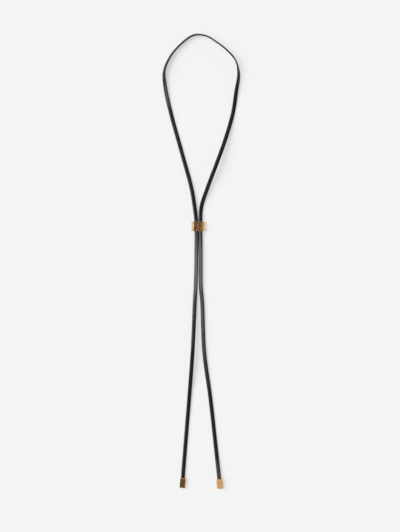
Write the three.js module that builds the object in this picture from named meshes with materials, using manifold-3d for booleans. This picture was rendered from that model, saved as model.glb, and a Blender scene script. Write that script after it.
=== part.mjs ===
// Cord necklace: one flat leather lace looped round, both strands through a metal slider,
// and a metal cap on each free end. It lies on a level surface, z = 0, as laid down by hand.
// Units are millimetres, +Z is up, and +Y runs from the slider to the back of the neck.
// The origin is the middle of the slider's flat underside.

import * as THREE from 'three';
import { mergeVertices } from 'three/addons/utils/BufferGeometryUtils.js';
import Module from 'manifold-3d';

// ---------------------------------------------------------------- driving dimensions

// The free space left all round the lace: in the pockets of the caps, and in the slider's channel.
const FIT_GAP = 0.3;
const SLIDE_GAP = 0.45;

const LACE = {
  width: 4.0,
  thickness: 1.6,
  edgeRadius: 0.6,
  // Half the distance between the middles of the two strands inside the slider.
  halfPitch: 2.1,
  steps: 80,
};

const SLIDER = {
  width: 14.6, // across the strands
  length: 10.0, // along the strands
  height: 4.2,
  frontWidth: 10.5, // the flat front between the two long facets
  facetDrop: 1.7, // height that each long facet takes
  endBevel: 0.3,
};

// The plain ornament on the slider's front: a sunk panel with a raised lozenge in it.
const PANEL = { width: 7.8, length: 7.2, depth: 0.35 };
const LOZENGE = { width: 5.0, length: 4.4 };

const CAP = {
  width: 5.9,
  height: 3.6,
  length: 10.3,
  edgeBevel: 0.55, // along its four long edges
  endBevel: 0.45,
  pocketDepth: 7.0,
};

// Where each cap lies: the middle of its plan outline, the lean of its axis away from +Y,
// and its roll about that axis. The right cap leans over on one long edge.
const CAP_LEFT = { x: -16.73, y: -269.7, lean: -5.5, roll: 0 };
const CAP_RIGHT = { x: 22.34, y: -270.55, lean: 5, roll: -14 };

const STRAND_LIFT = (SLIDER.height - LACE.thickness) / 2;

// The lace's route, from inside the left cap round the loop to inside the right cap.
// lift: height of the lace's lowest edge above the surface.
// turn: how far its top face turns to the left of the way it runs, which is outward on the loop.
// From y = 8 to y = -32, where the slider is and travels, the lace's middle keeps to its mid-height.
const ROUTE = [
  // left tail
  { x: -16.8, y: -270.5, lift: 1.0, turn: 0 },
  { x: -16.0, y: -258, lift: 0.8, turn: 0 },
  { x: -14.6, y: -240, lift: 0.4, turn: 0 },
  { x: -9.75, y: -180, lift: 0.9, turn: 0 },
  { x: -6.2, y: -132, lift: 6.2, turn: 0 },
  { x: -3.9, y: -80, lift: 1.9, turn: 5 },
  { x: -2.95, y: -62, lift: 1.3, turn: 15 },
  { x: -2.2, y: -32, lift: 0.95, turn: 15 },
  { x: -LACE.halfPitch, y: -4, lift: 1.15, turn: 6 },
  // left strand
  { x: -2.55, y: 8, lift: STRAND_LIFT, turn: 0 },
  { x: -4.15, y: 21, lift: 1.2, turn: 0 },
  { x: -7.35, y: 40, lift: 1.1, turn: 0 },
  { x: -16.85, y: 75, lift: 0.3, turn: 0 },
  { x: -29.25, y: 120, lift: 0.25, turn: 2 },
  { x: -35.0, y: 147, lift: 1.2, turn: 22 },
  { x: -35.9, y: 163, lift: 2.2, turn: 56 },
  // back of the neck
  { x: -29.9, y: 177.8, lift: 2.2, turn: 64 },
  { x: -18.0, y: 192.1, lift: 1.4, turn: 70 },
  { x: -4.5, y: 201.2, lift: 0.8, turn: 66 },
  { x: 8.3, y: 200.15, lift: 1.0, turn: 80 },
  { x: 19.1, y: 193.5, lift: 2.0, turn: 84 },
  { x: 30.0, y: 184.8, lift: 3.2, turn: 90 },
  { x: 39.3, y: 173.4, lift: 4.0, turn: 86 },
  // right strand
  { x: 42.2, y: 160, lift: 3.4, turn: 48 },
  { x: 39.7, y: 142, lift: 1.6, turn: 18 },
  { x: 36.15, y: 119, lift: 0.3, turn: 2 },
  { x: 27.8, y: 90, lift: 4.8, turn: 0 },
  { x: 16.9, y: 60, lift: 7.6, turn: 0 },
  { x: 9.3, y: 40, lift: 4.0, turn: 0 },
  { x: 3.1, y: 21, lift: 0.8, turn: 6 },
  { x: 2.05, y: 8, lift: STRAND_LIFT, turn: 0 },
  // right tail
  { x: LACE.halfPitch, y: -4, lift: 1.15, turn: -6 },
  { x: 2.3, y: -32, lift: 0.95, turn: -15 },
  { x: 2.4, y: -62, lift: 0.95, turn: -16 },
  { x: 3.85, y: -80, lift: 0.8, turn: -10 },
  { x: 6.0, y: -132, lift: 0.6, turn: -10 },
  { x: 12.4, y: -180, lift: 0.25, turn: -2 },
  { x: 19.05, y: -240, lift: 0.35, turn: -2 },
  { x: 21.0, y: -258, lift: 1.1, turn: -9 },
  { x: 22.4, y: -271.2, lift: 1.2, turn: -14 },
];

// ---------------------------------------------------------------- materials

const leather = new THREE.MeshStandardMaterial({ color: 0x17161a, roughness: 0.45, metalness: 0 });
const sliderMetal = new THREE.MeshStandardMaterial({ color: 0xc49a62, roughness: 0.2, metalness: 1 });
const capMetal = new THREE.MeshStandardMaterial({ color: 0xc8a06a, roughness: 0.28, metalness: 1 });

// ---------------------------------------------------------------- helpers

const wasm = await Module();
wasm.setup();

/** A closed three.js geometry as a solid that can be joined and cut. */
function toSolid(geometry) {
  const bare = geometry.clone();
  bare.deleteAttribute('normal');
  bare.deleteAttribute('uv');
  const merged = mergeVertices(bare);
  return new wasm.Manifold(new wasm.Mesh({
    numProp: 3,
    vertProperties: new Float32Array(merged.attributes.position.array),
    triVerts: new Uint32Array(merged.index.array),
  }));
}

/** A solid back as a three.js geometry. */
function toGeometry(solid) {
  const { vertProperties, triVerts } = solid.getMesh();
  const geometry = new THREE.BufferGeometry();
  geometry.setAttribute('position', new THREE.BufferAttribute(vertProperties, 3));
  geometry.setIndex(new THREE.BufferAttribute(triVerts, 1));
  geometry.computeVertexNormals();
  return geometry;
}

/** A rectangle about the origin with its corners cut or rounded in `arcs` straight pieces. */
function softRectangle(width, height, radius, arcs) {
  const points = [];
  for (let corner = 0; corner < 4; corner += 1) {
    const xSide = corner === 0 || corner === 3 ? 1 : -1;
    const ySide = corner < 2 ? 1 : -1;
    for (let i = 0; i <= arcs; i += 1) {
      const angle = (corner + i / arcs) * Math.PI / 2;
      points.push(new THREE.Vector2(
        xSide * (width / 2 - radius) + radius * Math.cos(angle),
        ySide * (height / 2 - radius) + radius * Math.sin(angle),
      ));
    }
  }
  return new THREE.Shape(points);
}

/** An outline drawn in X and Z, carried along Y for `length` about y = 0 with bevelled ends. */
function prismAlongY(outline, length, bevel) {
  const geometry = new THREE.ExtrudeGeometry(outline, {
    depth: length - 2 * bevel,
    bevelEnabled: bevel > 0,
    bevelThickness: bevel,
    bevelSize: bevel,
    bevelOffset: -bevel,
    bevelSegments: 1,
  });
  geometry.translate(0, 0, -(length - 2 * bevel) / 2);
  geometry.rotateX(Math.PI / 2);
  return geometry;
}

// ---------------------------------------------------------------- the lace

/** Height of the lace's middle above its own lowest edge, for a turn in degrees. */
function middleHeight(turn) {
  const angle = THREE.MathUtils.degToRad(turn);
  const { width, thickness, edgeRadius } = LACE;
  return (width / 2 - edgeRadius) * Math.abs(Math.sin(angle))
    + (thickness / 2 - edgeRadius) * Math.abs(Math.cos(angle)) + edgeRadius;
}

/** The lace's centre line, with frames that carry its turn instead of the curve's own. */
class LaceCurve extends THREE.CatmullRomCurve3 {
  constructor(route) {
    super(route.map(({ x, y, lift, turn }) => new THREE.Vector3(x, y, lift + middleHeight(turn))));
    this.turns = route.map(({ turn }) => THREE.MathUtils.degToRad(turn));
    this.arcLengthDivisions = 40 * route.length;
  }

  turnAt(t) {
    const place = t * (this.turns.length - 1);
    const before = Math.min(Math.floor(place), this.turns.length - 2);
    return THREE.MathUtils.lerp(this.turns[before], this.turns[before + 1], place - before);
  }

  computeFrenetFrames(segments) {
    const up = new THREE.Vector3(0, 0, 1);
    const frames = { tangents: [], normals: [], binormals: [] };
    for (let i = 0; i <= segments; i += 1) {
      const u = i / segments;
      const tangent = this.getTangentAt(u);
      const left = up.clone().cross(tangent).normalize();
      const over = tangent.clone().cross(left);
      const turn = this.turnAt(this.getUtoTmapping(u));
      frames.tangents.push(tangent);
      frames.normals.push(left.clone().applyAxisAngle(tangent, -turn));
      frames.binormals.push(over.clone().applyAxisAngle(tangent, -turn));
    }
    return frames;
  }
}

function makeLace() {
  const section = softRectangle(LACE.width, LACE.thickness, LACE.edgeRadius, 2);
  const geometry = new THREE.ExtrudeGeometry(section, {
    extrudePath: new LaceCurve(ROUTE),
    steps: LACE.steps,
  });
  const lace = new THREE.Mesh(geometry, leather);
  lace.name = 'cord';
  return lace;
}

// ---------------------------------------------------------------- the slider

/** The slider's end view: a flat front and back, and a long facet at each corner. */
function sliderOutline() {
  const { width, height, frontWidth, facetDrop } = SLIDER;
  const outline = new THREE.Shape([
    new THREE.Vector2(-frontWidth / 2, 0),
    new THREE.Vector2(frontWidth / 2, 0),
    new THREE.Vector2(width / 2, facetDrop),
    new THREE.Vector2(width / 2, height - facetDrop),
    new THREE.Vector2(frontWidth / 2, height),
    new THREE.Vector2(-frontWidth / 2, height),
    new THREE.Vector2(-width / 2, height - facetDrop),
    new THREE.Vector2(-width / 2, facetDrop),
  ]);
  const channel = softRectangle(
    2 * LACE.halfPitch + LACE.width + 2 * SLIDE_GAP,
    LACE.thickness + 2 * SLIDE_GAP,
    LACE.edgeRadius,
    2,
  );
  const middle = new THREE.Vector2(0, height / 2);
  outline.holes.push(new THREE.Path(channel.getPoints().map((point) => point.clone().add(middle))));
  return outline;
}

/** The raised lozenge: a four-sided point that ends level with the slider's front. */
function makeLozenge() {
  const sink = 0.2; // how far its base runs into the floor of the panel
  const height = PANEL.depth + sink;
  const geometry = new THREE.ConeGeometry(1, height, 4);
  geometry.rotateX(Math.PI / 2);
  geometry.scale(LOZENGE.width / 2, LOZENGE.length / 2, 1);
  geometry.translate(0, 0, SLIDER.height - height / 2);
  return geometry;
}

function makeSlider() {
  const body = toSolid(prismAlongY(sliderOutline(), SLIDER.length, SLIDER.endBevel));
  const sunk = new THREE.BoxGeometry(PANEL.width, PANEL.length, 2 * PANEL.depth);
  sunk.translate(0, 0, SLIDER.height);
  const solid = body.subtract(toSolid(sunk)).add(toSolid(makeLozenge()));
  const slider = new THREE.Mesh(toGeometry(solid), sliderMetal);
  slider.name = 'slider';
  return slider;
}

// ---------------------------------------------------------------- the end caps

/** A cap about its own middle, with its mouth towards +Y. */
function makeCapGeometry() {
  const { width, height, length, edgeBevel, endBevel, pocketDepth } = CAP;
  const body = prismAlongY(softRectangle(width, height, edgeBevel, 1), length, endBevel);
  const pocketOutline = softRectangle(
    LACE.width + 2 * FIT_GAP,
    LACE.thickness + 2 * FIT_GAP,
    LACE.edgeRadius,
    2,
  );
  const runOut = 1; // the cutting tool carries on past the mouth
  const pocket = prismAlongY(pocketOutline, pocketDepth + runOut, 0);
  pocket.translate(0, length / 2 - (pocketDepth - runOut) / 2, 0);
  return toGeometry(toSolid(body).subtract(toSolid(pocket)));
}

/** Places a cap where it lies, with its lowest edge on the surface. */
function placeCap(name, geometry, { x, y, lean, roll }) {
  const angle = THREE.MathUtils.degToRad(roll);
  const halfFlat = CAP.width / 2 - CAP.edgeBevel;
  const low = halfFlat * Math.abs(Math.sin(angle)) + (CAP.height / 2) * Math.cos(angle);
  const cap = new THREE.Mesh(geometry, capMetal);
  cap.name = name;
  cap.rotation.y = angle;
  const seat = new THREE.Group();
  seat.rotation.z = THREE.MathUtils.degToRad(lean);
  seat.position.set(x, y, low);
  seat.add(cap);
  return seat;
}

// ---------------------------------------------------------------- the necklace

const necklace = new THREE.Group();
necklace.name = 'cord_necklace';
necklace.add(makeLace());
necklace.add(makeSlider());
const capGeometry = makeCapGeometry();
necklace.add(placeCap('end_cap_left', capGeometry, CAP_LEFT));
necklace.add(placeCap('end_cap_right', capGeometry, CAP_RIGHT));

export default necklace;
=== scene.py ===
"""Looks of the cord necklace: a flat leather lace, its metal slider and its two metal end caps.

The CAD model is the fixed frame. It lies on the surface z = 0 and +Y runs from the slider to
the back of the neck. Named sizes are in millimetres, and MM turns them into metres.
"""

import math

import bmesh
import bpy
import numpy as np
from mathutils import Matrix, Vector
from mathutils.geometry import tessellate_polygon


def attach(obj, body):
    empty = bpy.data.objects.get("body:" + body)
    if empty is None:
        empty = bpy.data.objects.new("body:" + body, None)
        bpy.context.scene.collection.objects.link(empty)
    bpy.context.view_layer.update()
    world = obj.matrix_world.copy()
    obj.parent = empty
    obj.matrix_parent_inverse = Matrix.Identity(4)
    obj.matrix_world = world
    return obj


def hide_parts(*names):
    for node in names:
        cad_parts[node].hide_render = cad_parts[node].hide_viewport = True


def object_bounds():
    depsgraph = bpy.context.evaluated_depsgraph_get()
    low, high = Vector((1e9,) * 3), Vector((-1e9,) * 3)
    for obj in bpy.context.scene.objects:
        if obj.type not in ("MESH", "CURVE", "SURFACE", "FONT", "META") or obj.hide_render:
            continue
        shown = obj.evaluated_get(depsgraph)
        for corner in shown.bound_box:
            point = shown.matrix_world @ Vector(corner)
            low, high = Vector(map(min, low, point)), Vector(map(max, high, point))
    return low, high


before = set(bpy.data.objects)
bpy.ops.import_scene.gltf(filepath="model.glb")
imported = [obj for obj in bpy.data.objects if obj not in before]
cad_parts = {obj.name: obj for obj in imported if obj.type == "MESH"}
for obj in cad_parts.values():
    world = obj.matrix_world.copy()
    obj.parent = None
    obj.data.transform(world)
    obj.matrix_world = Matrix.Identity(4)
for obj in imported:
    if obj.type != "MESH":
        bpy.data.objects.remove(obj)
cad_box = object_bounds()

MM = 0.001

# ---------------------------------------------------------------- sizes shared with the CAD model

LACE_WIDTH = 4.0
LACE_THICKNESS = 1.6
LACE_EDGE_RADIUS = 0.6
HALF_PITCH = 2.1  # from the middle of the slider to the middle of each strand
FIT_GAP = 0.3  # free space round the lace in the pockets of the caps
SLIDE_GAP = 0.45  # free space round the lace in the slider's channel

SLIDER_WIDTH = 14.6
SLIDER_LENGTH = 10.0
SLIDER_HEIGHT = 4.2
SLIDER_FRONT_WIDTH = 10.5
SLIDER_FACET_DROP = 1.7
PANEL_WIDTH = 7.8
PANEL_LENGTH = 7.2
PANEL_DEPTH = 0.35
LOZENGE_WIDTH = 5.0
LOZENGE_LENGTH = 4.4

CAP_WIDTH = 5.9
CAP_HEIGHT = 3.6
CAP_LENGTH = 10.3
CAP_POCKET_DEPTH = 7.0
# Middle of each cap's plan outline, the lean of its axis away from +Y, and its roll about it.
CAP_PLACES = {
    "end_cap_left": {"x": -16.73, "y": -269.7, "lean": -5.5, "roll": 0},
    "end_cap_right": {"x": 22.34, "y": -270.55, "lean": 5, "roll": -14},
}

STRAND_LIFT = (SLIDER_HEIGHT - LACE_THICKNESS) / 2

# The lace's route as the CAD model has it: x, y, height of the lowest edge above the surface,
# and how far the top face turns to the left of the way it runs, in degrees.
ROUTE = [
    # left tail
    (-16.8, -270.5, 1.0, 0),
    (-16.0, -258, 0.8, 0),
    (-14.6, -240, 0.4, 0),
    (-9.75, -180, 0.9, 0),
    (-6.2, -132, 6.2, 0),
    (-3.9, -80, 1.9, 5),
    (-2.95, -62, 1.3, 15),
    (-2.2, -32, 0.95, 15),
    (-HALF_PITCH, -4, 1.15, 6),
    # left strand
    (-2.55, 8, STRAND_LIFT, 0),
    (-4.15, 21, 1.2, 0),
    (-7.35, 40, 1.1, 0),
    (-16.85, 75, 0.3, 0),
    (-29.25, 120, 0.25, 2),
    (-35.0, 147, 1.2, 22),
    (-35.9, 163, 2.2, 56),
    # back of the neck
    (-29.9, 177.8, 2.2, 64),
    (-18.0, 192.1, 1.4, 70),
    (-4.5, 201.2, 0.8, 66),
    (8.3, 200.15, 1.0, 80),
    (19.1, 193.5, 2.0, 84),
    (30.0, 184.8, 3.2, 90),
    (39.3, 173.4, 4.0, 86),
    # right strand
    (42.2, 160, 3.4, 48),
    (39.7, 142, 1.6, 18),
    (36.15, 119, 0.3, 2),
    (27.8, 90, 4.8, 0),
    (16.9, 60, 7.6, 0),
    (9.3, 40, 4.0, 0),
    (3.1, 21, 0.8, 6),
    (2.05, 8, STRAND_LIFT, 0),
    # right tail
    (HALF_PITCH, -4, 1.15, -6),
    (2.3, -32, 0.95, -15),
    (2.4, -62, 0.95, -16),
    (3.85, -80, 0.8, -10),
    (6.0, -132, 0.6, -10),
    (12.4, -180, 0.25, -2),
    (19.05, -240, 0.35, -2),
    (21.0, -258, 1.1, -9),
    (22.4, -271.2, 1.2, -14),
]

# ---------------------------------------------------------------- helpers

OWN_PLACE = "own_place"


def mesh_object(name, points, faces, own=None, smooth=True):
    """A mesh object in the scene, from points in millimetres.

    own says where each point was before the piece was bent or laid down, for its grain to follow."""
    mesh = bpy.data.meshes.new(name)
    mesh.from_pydata([tuple(p) for p in np.asarray(points, float) * MM], [], faces)
    mesh.polygons.foreach_set("use_smooth", [smooth] * len(mesh.polygons))
    if own is not None:
        places = mesh.attributes.new(OWN_PLACE, "FLOAT_VECTOR", "POINT")
        places.data.foreach_set("vector", (np.asarray(own, np.float32) * MM).ravel())
    mesh.update()
    made = bpy.data.objects.new(name, mesh)
    bpy.context.scene.collection.objects.link(made)
    return made


def socket(sockets, name):
    """The socket of that name which the node shows in its present mode."""
    return next(s for s in sockets if s.name == name and s.enabled)


class Nodes:
    """Adds shader nodes to a material or world, and sets or links their inputs."""

    def __init__(self, owner):
        owner.use_nodes = True
        self.tree = owner.node_tree

    def put(self, plug, value):
        if isinstance(value, bpy.types.NodeSocket):
            self.tree.links.new(value, plug)
        else:
            plug.default_value = value

    def fill(self, node, inputs):
        for name, value in inputs.items():
            self.put(socket(node.inputs, name), value)

    def add(self, kind, inputs, output=None, **settings):
        """A new node's named output, or its first one that shows."""
        node = self.tree.nodes.new("ShaderNode" + kind)
        for name, value in settings.items():
            setattr(node, name, value)
        self.fill(node, inputs)
        return socket(node.outputs, output or next(s.name for s in node.outputs if s.enabled))

    def axes(self, vector):
        """The vector's X, Y and Z."""
        return self.add("SeparateXYZ", {"Vector": vector}).node.outputs

    def dot(self, vector, axis):
        node = self.tree.nodes.new("ShaderNodeVectorMath")
        node.operation = "DOT_PRODUCT"
        self.put(node.inputs[0], vector)
        self.put(node.inputs[1], tuple(axis))
        return node.outputs["Value"]

    def stretched(self, vector, scale):
        """A place in millimetres times a number for each axis."""
        return self.add("Mapping", {"Vector": vector, "Scale": [k / MM for k in scale]})

    def noise(self, vector, scale, detail=3.0, roughness=0.5):
        """Noise with that many features to a millimetre along each axis."""
        inputs = {"Vector": self.stretched(vector, scale), "Scale": 1.0, "Detail": detail}
        return self.add("TexNoise", inputs | {"Roughness": roughness}, output="Fac")

    def cells(self, vector, scale, feature):
        """Distances in a pattern of cells, that many to a millimetre along each axis."""
        inputs = {"Vector": self.stretched(vector, scale), "Scale": 1.0}
        return self.add("TexVoronoi", inputs, output="Distance", feature=feature)

    def ramp(self, value, low, high, to_low=0.0, to_high=1.0):
        """The value eased from to_low at low to to_high at high."""
        span = {"From Min": low, "From Max": high, "To Min": to_low, "To Max": to_high}
        return self.add("MapRange", {"Value": value} | span, interpolation_type="SMOOTHSTEP")

    def blend(self, factor, a, b, kind="FLOAT"):
        return self.add("Mix", {"Factor": factor, "A": a, "B": b}, data_type=kind)

    def tint(self, factor, a, b):
        return self.blend(factor, a, b, kind="RGBA")

    def math(self, operation, *values):
        node = self.tree.nodes.new("ShaderNodeMath")
        node.operation = operation
        for plug, value in zip(node.inputs, values):
            self.put(plug, value)
        return node.outputs["Value"]


# ---------------------------------------------------------------- the camera

CAMERA_LENS = 100
CAMERA_HEIGHT = 1556.0
CAMERA_OFFSET = Vector((-1.5, -4.8, 0)) * MM  # from the middle of the necklace's plan


def make_camera():
    """Looks straight down on the laid-out necklace, with the neck loop at the top."""
    data = bpy.data.cameras.new("camera")
    data.lens = CAMERA_LENS
    data.clip_start = 0.05
    data.clip_end = 100
    camera = bpy.data.objects.new("camera", data)
    bpy.context.scene.collection.objects.link(camera)
    middle = (cad_box[0] + cad_box[1]) / 2
    camera.location = middle + CAMERA_OFFSET
    camera.location.z = CAMERA_HEIGHT * MM
    bpy.context.scene.camera = camera


make_camera()

# ---------------------------------------------------------------- the lace

RING_STEP = 0.5
RING_POINTS = 32
SPAN_SAMPLES = 200
OUTLINE_SAMPLES = 2000
TURN_EASE = 6.0  # length over which a change of turn is evened out
# The lace's section is |x/a|^n + |z/b|^m = 1: flat in the middle and crowned towards its edges.
SECTION_ACROSS = 5.0
SECTION_UP = 2.2
EDGE_SWELL = 0.12  # the soft painted edges stand this far proud of the nominal width


def middle_height(turn):
    """Height of the lace's middle above its own lowest edge, for a turn in degrees."""
    angle = math.radians(turn)
    half_flat = LACE_WIDTH / 2 - LACE_EDGE_RADIUS
    half_side = LACE_THICKNESS / 2 - LACE_EDGE_RADIUS
    return half_flat * abs(math.sin(angle)) + half_side * abs(math.cos(angle)) + LACE_EDGE_RADIUS


def curve_through(points):
    """The centripetal Catmull-Rom curve that the CAD model draws, finely sampled."""
    ends = [2 * points[0] - points[1]], [2 * points[-1] - points[-2]]
    p = np.concatenate([ends[0], points, ends[1]])
    t = np.linspace(0, 1, SPAN_SAMPLES, endpoint=False)[:, None]
    spans = []
    for p0, p1, p2, p3 in zip(p, p[1:], p[2:], p[3:]):
        d0, d1, d2 = (math.sqrt(np.linalg.norm(b - a)) for a, b in ((p0, p1), (p1, p2), (p2, p3)))
        m1 = ((p1 - p0) / d0 - (p2 - p0) / (d0 + d1) + (p2 - p1) / d1) * d1
        m2 = ((p2 - p1) / d1 - (p3 - p1) / (d1 + d2) + (p3 - p2) / d2) * d1
        spans.append(
            (2 * t**3 - 3 * t**2 + 1) * p1
            + (t**3 - 2 * t**2 + t) * m1
            + (3 * t**2 - 2 * t**3) * p2
            + (t**3 - t**2) * m2
        )
    return np.concatenate([*spans, points[-1:]])


def smoothed(values, width):
    """Values evened out over a number of neighbours, with the ends held."""
    kernel = np.hanning(2 * width + 3)[1:-1]
    padded = np.pad(values, width, mode="edge")
    return np.convolve(padded, kernel / kernel.sum(), mode="valid")


def lace_frames():
    """For each ring: how far along it is, its centre, and the ways across and out of the top face."""
    knots = np.array([(x, y, lift + middle_height(turn)) for x, y, lift, turn in ROUTE])
    fine = curve_through(knots)
    along = np.concatenate([[0], np.cumsum(np.linalg.norm(np.diff(fine, axis=0), axis=1))])
    rings = round(along[-1] / RING_STEP) + 1
    s = np.linspace(0, along[-1], rings)
    centre = np.stack([np.interp(s, along, fine[:, k]) for k in range(3)], 1)
    turn_fine = np.interp(np.arange(len(fine)) / SPAN_SAMPLES, range(len(ROUTE)), [r[3] for r in ROUTE])
    turn = np.radians(smoothed(np.interp(s, along, turn_fine), round(TURN_EASE / RING_STEP)))
    tangent = np.gradient(centre, s, axis=0)
    tangent /= np.linalg.norm(tangent, axis=1)[:, None]
    left = np.cross([0, 0, 1], tangent)
    left /= np.linalg.norm(left, axis=1)[:, None]
    over = np.cross(tangent, left)
    cos, sin = np.cos(turn)[:, None], np.sin(turn)[:, None]
    return s, centre, left * cos - over * sin, over * cos + left * sin


def lace_section():
    """The section's points, closest together where its outline turns, as (across, up) pairs."""
    angle = np.linspace(0, 2 * math.pi, OUTLINE_SAMPLES, endpoint=False)
    cos, sin = np.cos(angle), np.sin(angle)
    x = (LACE_WIDTH / 2 + EDGE_SWELL) * np.sign(cos) * np.abs(cos) ** (2 / SECTION_ACROSS)
    z = LACE_THICKNESS / 2 * np.sign(sin) * np.abs(sin) ** (2 / SECTION_UP)
    outline = np.stack([x, z], 1)
    steps = np.linalg.norm(outline - np.roll(outline, 1, axis=0), axis=1)
    heading = np.unwrap(np.arctan2(*(np.roll(outline, -1, axis=0) - outline).T[::-1]))
    bend = np.abs(np.diff(heading, prepend=heading[0]))
    weight = np.cumsum(steps / steps.sum() + bend / bend.sum())
    at = np.linspace(0, weight[-1], RING_POINTS, endpoint=False)
    return np.stack([np.interp(at, weight, x), np.interp(at, weight, z)], 1)


def make_lace():
    s, centre, across, up = lace_frames()
    section = lace_section()
    points = (
        centre[:, None]
        + section[None, :, :1] * across[:, None]
        + section[None, :, 1:] * up[:, None]
    )
    rings, around = len(s), len(section)
    first = np.arange(rings - 1)[:, None] * around + np.arange(around)
    beside = np.arange(rings - 1)[:, None] * around + (np.arange(around) + 1) % around
    faces = np.stack([first, first + around, beside + around, beside], -1).reshape(-1, 4).tolist()
    last = (rings - 1) * around
    faces += [list(range(around)), list(range(last + around - 1, last - 1, -1))]
    # Where each point is on the straight lace: across, along and up.
    own = np.empty((rings, around, 3))
    own[..., 0] = section[:, 0]
    own[..., 1] = s[:, None]
    own[..., 2] = section[:, 1]
    lace = mesh_object("leather_lace", points.reshape(-1, 3), faces, own)
    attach(lace, "necklace")
    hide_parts("cord")
    return lace, centre * MM


# ---------------------------------------------------------------- the metal pieces

# Finishes of a metal piece's faces, as places in its list of materials. On the slider OUTSIDE takes a paler
# gold, a painted highlight, and SUNK a darker gold, painted shade.
OUTSIDE, FRONT, SUNK = range(3)
ARC_STEPS = 6  # straight pieces in each rounded corner or edge
LEAST_RADIUS = 0.02
SHARP_ANGLE = math.radians(40)  # a steeper bend than this shows as an edge
SLIDER_EDGE = 0.35
CAP_EDGE = 0.3
# The chamfers round a cap's closed end and round its mouth: how far in they go, and how long they are.
CAP_BASE = (0.25, 0.25)
CAP_RIM = (0.55, 1.1)
CHAMFER_EASE = (0.04, 0.93)  # how far its eased edges take it, as parts of its reach and its length
MOUTH_EDGE = 0.2  # where the lace runs into metal
RIM_EDGE = 0.12  # the panel's rim, and the fillet round its floor
PANEL_CORNER = 0.5
# The ornament's cross-section: how far in from its outline, and how high above the panel's floor.
LOZENGE_STEPS = [(0.0, 0.0), (0.2, 0.25), (0.28, 0.31), (0.42, 0.31), (0.46, 0.0)]
STUD_RADIUS = 0.5
STUD_HEIGHT = 0.28
STUD_TOP = 0.45 * math.pi  # the angle that each stud's dome rises through, up to its flat top
STUD_PLACE = (2.95, 2.65)  # in each corner of the panel
STUD_SIDES = 20


def box_corners(width, height, middle=0.0):
    """A rectangle's corners, anticlockwise."""
    x, z = width / 2, height / 2
    return [(-x, middle - z), (x, middle - z), (x, middle + z), (-x, middle + z)]


def outline(corners, radius, inset=0.0):
    """A convex outline drawn inwards by the inset, each corner rounded by what that leaves of its radius."""
    corner = np.array([complex(*pair) for pair in corners])
    side = corner - np.roll(corner, 1)
    side /= abs(side)
    bend = np.angle(np.roll(side, -1) / side)
    left = max(radius - inset, LEAST_RADIUS)
    inward = 1j * side
    middle = corner + (inset + left) * inward * (1 + 1j * np.tan(bend / 2))
    turns = np.exp(1j * bend[:, None] * np.linspace(0, 1, ARC_STEPS + 1))
    points = (middle[:, None] - left * inward[:, None] * turns).ravel()
    return np.stack([points.real, points.imag], 1)


def quarter_round(radius):
    """(inset, distance from the end) pairs from a side round to the end face."""
    angle = np.linspace(0, math.pi / 2, ARC_STEPS + 1)
    return list(zip(radius * (1 - np.cos(angle)), radius * (1 - np.sin(angle))))


def chamfer(inset, length):
    """The same for a chamfer with eased edges."""
    small, large = CHAMFER_EASE
    return [(0.0, length), (small * inset, large * length), (large * inset, small * length), (inset, 0.0)]


class Shell:
    """Collects loops of points, in millimetres, and the faces between them."""

    def __init__(self):
        self.points = []
        self.faces = []
        self.finishes = []
        self.smooth = []

    def loop(self, points):
        first = len(self.points)
        self.points.extend(tuple(point) for point in points)
        return list(range(first, len(self.points)))

    def across(self, points, y):
        """A loop that stands across the strands."""
        return self.loop((x, y, z) for x, z in points)

    def level(self, points, z):
        return self.loop((x, y, z) for x, y in points)

    def face(self, corners, finish=OUTSIDE, smooth=True):
        self.faces.append(corners)
        self.finishes.append(finish)
        self.smooth.append(smooth)

    def skin(self, loops, skip=None, finish=OUTSIDE):
        """Faces between each loop and the next, but for the (loop, side) to skip."""
        for k, (a, b) in enumerate(zip(loops, loops[1:])):
            for i in range(len(a)):
                j = (i + 1) % len(a)
                if (k, i) != skip:
                    self.face((a[i], a[j], b[j], b[i]), finish)

    def fill(self, *loops, finish=OUTSIDE):
        """A flat stretch inside the first loop and outside the others."""
        order = [i for loop in loops for i in loop]
        for triangle in tessellate_polygon([[Vector(self.points[i]) for i in loop] for loop in loops]):
            self.face(tuple(order[i] for i in triangle), finish, smooth=False)

    def build(self, name, place, body, node):
        """The piece, laid where the matrix puts it, on its CAD body and in place of its CAD node."""
        own = np.array(self.points)
        turned = np.array([place @ Vector(point) for point in own])
        made = mesh_object(name, turned, self.faces, own)
        made.data.polygons.foreach_set("material_index", self.finishes)
        whole = bmesh.new()
        whole.from_mesh(made.data)
        bmesh.ops.recalc_face_normals(whole, faces=whole.faces)
        whole.to_mesh(made.data)
        whole.free()
        made.data.set_sharp_from_angle(angle=SHARP_ANGLE)
        made.data.polygons.foreach_set("use_smooth", self.smooth)
        made.modifiers.new("even_normals", "WEIGHTED_NORMAL").keep_sharp = True
        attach(made, body)
        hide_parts(node)
        return made


def sleeve(shell, corners, radius, length, hole, near_end, far_end):
    """A prism's outside with chamfered ends, and a hole's flared mouth at its far, +Y end. Returns both."""
    half = length / 2
    places = [(inset, back - half) for inset, back in reversed(chamfer(*near_end))]
    places += [(inset, half - back) for inset, back in chamfer(*far_end)]
    outside = [shell.across(outline(corners, radius, inset), y) for inset, y in places]
    flare = [(-inset, half - back) for inset, back in reversed(quarter_round(MOUTH_EDGE))]
    mouth = [shell.across(outline(hole, LACE_EDGE_RADIUS, inset), y) for inset, y in flare]
    shell.fill(outside[-1], mouth[0])
    return outside, mouth


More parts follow.
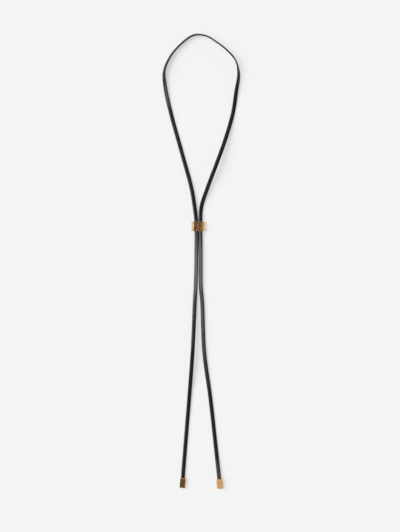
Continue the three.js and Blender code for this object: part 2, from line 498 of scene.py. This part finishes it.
def add_ornament(shell):
    """The plain ornament: a lozenge frame, and a stud in each corner. Returns the outlines of their feet."""
    floor = SLIDER_HEIGHT - PANEL_DEPTH
    half_width, half_length = LOZENGE_WIDTH / 2, LOZENGE_LENGTH / 2
    corners = [(half_width, 0), (0, half_length), (-half_width, 0), (0, -half_length)]
    frame_loops = [
        shell.level(outline(corners, RIM_EDGE, inset), floor + rise) for inset, rise in LOZENGE_STEPS
    ]
    shell.skin(frame_loops, finish=FRONT)
    # The lozenge's middle and the studs take the darker gold, painted shade.
    shell.fill(frame_loops[-1], finish=SUNK)
    feet = [frame_loops[0]]
    round_angle = np.linspace(0, 2 * math.pi, STUD_SIDES, endpoint=False)
    for x_side, y_side in ((1, 1), (-1, 1), (-1, -1), (1, -1)):
        middle = np.array([x_side * STUD_PLACE[0], y_side * STUD_PLACE[1]])
        dome = []
        for angle in np.linspace(0, STUD_TOP, ARC_STEPS):
            spread = STUD_RADIUS * math.cos(angle)
            circle = middle + spread * np.stack([np.cos(round_angle), np.sin(round_angle)], 1)
            dome.append(shell.level(circle, floor + STUD_HEIGHT * math.sin(angle)))
        shell.skin(dome, finish=SUNK)
        shell.fill(dome[-1], finish=SUNK)
        feet.append(dome[0])
    return feet


def make_slider():
    half_front, half_width = SLIDER_FRONT_WIDTH / 2, SLIDER_WIDTH / 2
    drop, height = SLIDER_FACET_DROP, SLIDER_HEIGHT
    corners = [
        (-half_front, 0),
        (half_front, 0),
        (half_width, drop),
        (half_width, height - drop),
        (half_front, height),
        (-half_front, height),
        (-half_width, height - drop),
        (-half_width, drop),
    ]
    channel = box_corners(
        2 * HALF_PITCH + LACE_WIDTH + 2 * SLIDE_GAP, LACE_THICKNESS + 2 * SLIDE_GAP, height / 2
    )
    shell = Shell()
    ends = (SLIDER_EDGE, SLIDER_EDGE)
    outside, mouth = sleeve(shell, corners, SLIDER_EDGE, SLIDER_LENGTH, channel, ends, ends)
    # The same mouth at the other end, and the channel between the two.
    far_mouth = [shell.loop((x, -y, z) for x, y, z in [shell.points[i] for i in loop]) for loop in mouth]
    shell.skin(mouth + far_mouth[::-1])
    shell.fill(outside[0], far_mouth[0])

    # The front is left open between its ends, and the panel takes its place.
    front = corners.index((half_front, height)) * (ARC_STEPS + 1) + ARC_STEPS
    middle = len(outside) // 2
    shell.skin(outside, skip=(middle - 1, front))
    before, after = outside[middle - 1], outside[middle]
    edge = [before[front], before[front + 1], after[front + 1], after[front]]
    panel = box_corners(PANEL_WIDTH, PANEL_LENGTH)
    bend = quarter_round(RIM_EDGE)
    wall = [(-inset, height - back) for inset, back in reversed(bend)]
    wall += [(inset, height - PANEL_DEPTH + back) for inset, back in bend]
    loops = [shell.level(outline(panel, PANEL_CORNER, inset), z) for inset, z in wall]
    shell.fill(edge, loops[0], finish=FRONT)
    shell.skin(loops, finish=FRONT)
    shell.fill(loops[-1], *add_ornament(shell), finish=SUNK)
    return shell.build("faceted_slider", Matrix(), "slider", "slider")


def make_cap(node):
    """A plain cap on one end of the lace, glued into its pocket."""
    shell = Shell()
    pocket = box_corners(LACE_WIDTH + 2 * FIT_GAP, LACE_THICKNESS + 2 * FIT_GAP)
    corners = box_corners(CAP_WIDTH, CAP_HEIGHT)
    outside, mouth = sleeve(shell, corners, CAP_EDGE, CAP_LENGTH, pocket, CAP_BASE, CAP_RIM)
    shell.skin(outside)
    shell.fill(outside[0])
    floor = shell.across(outline(pocket, LACE_EDGE_RADIUS), CAP_LENGTH / 2 - CAP_POCKET_DEPTH)
    shell.skin(mouth + [floor])
    shell.fill(floor)
    place = CAP_PLACES[node]
    roll = Matrix.Rotation(math.radians(place["roll"]), 4, "Y")
    low = -min((roll @ Vector(point)).z for point in shell.points)
    lean = Matrix.Rotation(math.radians(place["lean"]), 4, "Z")
    seat = Matrix.Translation((place["x"], place["y"], low)) @ lean @ roll
    return shell.build(node.replace("end_cap", "cap"), seat, "necklace", node)


# ---------------------------------------------------------------- the necklace

lace, lace_line = make_lace()
caps = [make_cap(node) for node in CAP_PLACES]
slider = make_slider()

# ---------------------------------------------------------------- finishes


PAINTED_EDGE = (1.35, 1.8)  # how far from the lace's middle its top turns into its edges
FIBROUS_BACK = (-0.25, -0.5)  # how far up its section its edges turn into its back


def make_leather():
    """Black leather: a fine pebbled top, smooth painted edges and a fibrous back."""
    leather = bpy.data.materials.new("leather")
    nodes = Nodes(leather)
    place = nodes.add("Attribute", {}, output="Vector", attribute_name=OWN_PLACE)
    across, _, up = nodes.axes(place)
    edge = nodes.ramp(nodes.math("ABSOLUTE", across), *(reach * MM for reach in PAINTED_EDGE))
    back = nodes.ramp(up, *(height * MM for height in FIBROUS_BACK))

    mottle = nodes.noise(place, (0.16, 0.05, 0.16), 4.0)
    fibres = nodes.noise(place, (6.0, 0.8, 6.0), 5.0, 0.65)
    scuffs = nodes.ramp(nodes.noise(place, (0.9, 0.22, 0.9), 5.0, 0.6), 0.55, 0.72)
    top = nodes.tint(mottle, (0.003, 0.0028, 0.003, 1), (0.005, 0.0048, 0.0046, 1))
    rubbed = nodes.tint(nodes.math("MULTIPLY", edge, scuffs), top, (0.03, 0.027, 0.025, 1))
    hairy = nodes.math("MULTIPLY", back, nodes.ramp(fibres, 0.3, 0.7, 0.5, 1.0))
    colour = nodes.tint(hairy, rubbed, (0.03, 0.026, 0.024, 1))

    grain_gloss = nodes.ramp(mottle, 0.3, 0.7, 0.23, 0.31)
    roughness = nodes.blend(back, nodes.blend(edge, grain_gloss, 0.3), 0.85)

    pebbles = nodes.ramp(nodes.cells(place, (3.6, 2.8, 3.6), "DISTANCE_TO_EDGE"), 0.0, 0.25)
    relief = nodes.blend(back, nodes.blend(edge, pebbles, 0.7), fibres)
    creases = nodes.noise(place, (0.25, 1.3, 0.25), 2.0)
    broad = nodes.add("Bump", {"Distance": 0.05 * MM, "Height": creases})
    fine = nodes.add("Bump", {"Distance": 0.009 * MM, "Height": relief, "Normal": broad})

    shader = nodes.tree.nodes["Principled BSDF"]
    nodes.fill(shader, {"Base Color": colour, "Roughness": roughness, "Normal": fine})
    return leather


POLISH = {"gloss": 0.14, "satin": 0.24, "grain_depth": 0.002}
GOLD = {
    "gold_polished": {"bright": (0.8, 0.45, 0.17, 1), "dull": (0.72, 0.4, 0.15, 1)} | POLISH,
    # A paler copy of the gold for the slider's outside faces: a painted highlight, the washed-out look of
    # the bright reflections on its facets.
    "gold_pale_painted_highlight": {"bright": (0.8, 0.6, 0.39, 1), "dull": (0.72, 0.53, 0.34, 1)} | POLISH,
    # A darker, rougher copy for the panel floor, the lozenge's middle and the studs: its fine matte grain is
    # its own, its darker colour is painted shade.
    "gold_sunk_painted_shade": {
        "bright": (0.36, 0.21, 0.08, 1),
        "dull": (0.19, 0.105, 0.038, 1),
        "gloss": 0.32,
        "satin": 0.46,
        "grain_depth": 0.03,
    },
}


def make_gold(name, bright, dull, gloss, satin, grain_depth):
    """Gold-tone plating: slightly uneven, with fine marks from handling along it."""
    gold = bpy.data.materials.new(name)
    nodes = Nodes(gold)
    place = nodes.add("Attribute", {}, output="Vector", attribute_name=OWN_PLACE)
    cloud = nodes.noise(place, (0.35, 0.3, 0.35), 3.0)
    smudge = nodes.ramp(nodes.noise(place, (0.9, 0.5, 0.9), 5.0, 0.6), 0.45, 0.7)
    marks = nodes.noise(place, (9.0, 0.45, 9.0), 4.0, 0.6)
    grain = nodes.noise(place, (7.0, 7.0, 7.0), 3.0, 0.6)
    colour = nodes.tint(cloud, bright, dull)
    roughness = nodes.blend(smudge, gloss, satin)
    wavy = nodes.add("Bump", {"Distance": 0.12 * MM, "Height": cloud})
    marked = nodes.add("Bump", {"Distance": 0.004 * MM, "Height": marks, "Normal": wavy})
    grained = nodes.add("Bump", {"Distance": grain_depth * MM, "Height": grain, "Normal": marked})
    shader = nodes.tree.nodes["Principled BSDF"]
    nodes.fill(shader, {"Base Color": colour, "Roughness": roughness, "Normal": grained})
    shader.inputs["Metallic"].default_value = 1.0
    return gold


lace.data.materials.append(make_leather())
polished, pale, sunk = (make_gold(name, **look) for name, look in GOLD.items())
for cap in caps:
    cap.data.materials.append(polished)
# The slider's outside takes the paler gold, a painted highlight, its front the polished gold, and its sunk
# faces the darker gold, painted shade.
for finish in (pale, polished, sunk):
    slider.data.materials.append(finish)

# ---------------------------------------------------------------- floor, light and surroundings

FLOOR_HALF = 20.0  # metres
# The floor is a little cool and its glow a little warm, so it shows neutral where fully lit and warm in its
# shadows.
FLOOR_COLOUR = (0.34, 0.35, 0.36, 1)
FLOOR_GLOW_COLOUR = (1.0, 0.976, 0.952, 1)
FLOOR_GLOW = 0.4955  # the table is lit from below too, which keeps the shadows soft
KEY_FROM = {"azimuth": 166, "elevation": 50}  # degrees, counter-clockwise from +X
KEY_SPREAD = 56
KEY_STRENGTH = 1.75
# The room that the metal and the leather reflect: a pale horizon, a side towards the key light
# and a side away from it, a dark ceiling, and one bright window round the key light.
HORIZON = 0.95
HORIZON_ENDS = 0.5  # the horizon above and below the picture
HORIZON_TURN = (0.4, 0.9)  # how far lengthwise a way points, where the one gives way to the other
HORIZON_TOP = (0.3, 0.6)  # how far upward, where the horizon gives way to the two sides
LIT_SIDE = 0.7
FAR_SIDE = 0.3
SIDE_TURN = (-0.2, 0.45)  # how far towards the key light, where the far side gives way to the lit one
OVERHEAD = 0.12
OVERHEAD_EDGE = 32  # degrees from the middle of the dark patch
OVERHEAD_SHIFT = 0.12  # how far that middle lies from straight above, away from the key light
WINDOW = 6.0
WINDOW_AT = {"azimuth": 163, "elevation": 56}
WINDOW_REACH = (15, 19.5)  # degrees from its middle to its edge, sideways and up
WINDOW_FADE = 0.5  # the part of that, squared, after which it fades


def make_floor():
    corners = [(-1, -1, 0), (1, -1, 0), (1, 1, 0), (-1, 1, 0)]
    floor = mesh_object("floor", np.array(corners) * FLOOR_HALF / MM, [(0, 1, 2, 3)], smooth=False)
    paint = bpy.data.materials.new("floor")
    paint.use_nodes = True
    shader = paint.node_tree.nodes["Principled BSDF"]
    shader.inputs["Base Color"].default_value = FLOOR_COLOUR
    shader.inputs["Roughness"].default_value = 0.9
    shader.inputs["Specular IOR Level"].default_value = 0.0
    shader.inputs["Emission Color"].default_value = FLOOR_GLOW_COLOUR
    shader.inputs["Emission Strength"].default_value = FLOOR_GLOW
    floor.data.materials.append(paint)


def direction(place):
    azimuth, elevation = (math.radians(place[k]) for k in ("azimuth", "elevation"))
    flat = math.cos(elevation)
    return Vector((math.cos(azimuth) * flat, math.sin(azimuth) * flat, math.sin(elevation)))


def make_key():
    """One wide soft light from the upper left, so that the shadows fall to the right."""
    data = bpy.data.lights.new("key", "SUN")
    data.energy = KEY_STRENGTH
    data.angle = math.radians(KEY_SPREAD)
    key = bpy.data.objects.new("key", data)
    key.visible_glossy = False  # the window in the room is what shows in the metal
    bpy.context.scene.collection.objects.link(key)
    key.rotation_mode = "QUATERNION"
    key.rotation_quaternion = direction(KEY_FROM).to_track_quat("Z", "Y")


def make_world():
    """A room with a pale horizon, a dark ceiling and a bright window round the key light."""
    world = bpy.data.worlds.new("room")
    bpy.context.scene.world = world
    nodes = Nodes(world)
    way = nodes.add("TexCoord", {}, output="Generated")
    _, lengthwise, upward = nodes.axes(way)
    key = direction(KEY_FROM)
    side = nodes.dot(way, key.to_2d().normalized().to_3d())
    walls = nodes.ramp(side, *SIDE_TURN, FAR_SIDE, LIT_SIDE)
    horizon = nodes.ramp(nodes.math("ABSOLUTE", lengthwise), *HORIZON_TURN, HORIZON, HORIZON_ENDS)
    room = nodes.blend(nodes.ramp(upward, *HORIZON_TOP, 1.0, 0.0), walls, horizon)
    patch = (Vector((0, 0, 1)) - OVERHEAD_SHIFT * key.to_2d().to_3d()).normalized()
    ceiling = nodes.ramp(nodes.dot(way, patch), math.cos(math.radians(OVERHEAD_EDGE)), 1.0)
    middle = direction(WINDOW_AT)
    sideways = Vector((0, 0, 1)).cross(middle).normalized()
    axes = zip((sideways, middle.cross(sideways)), WINDOW_REACH)
    x, y = (nodes.dot(way, axis / math.sin(math.radians(reach))) for axis, reach in axes)
    off_middle = nodes.math("MULTIPLY_ADD", x, x, nodes.math("MULTIPLY", y, y))
    window = nodes.ramp(off_middle, WINDOW_FADE, 1.0, WINDOW, 0.0)
    light = nodes.math("ADD", nodes.blend(ceiling, room, OVERHEAD), window)
    nodes.fill(nodes.tree.nodes["Background"], {"Color": light})


make_floor()
make_key()
make_world()
bpy.context.scene.view_settings.view_transform = "Standard"
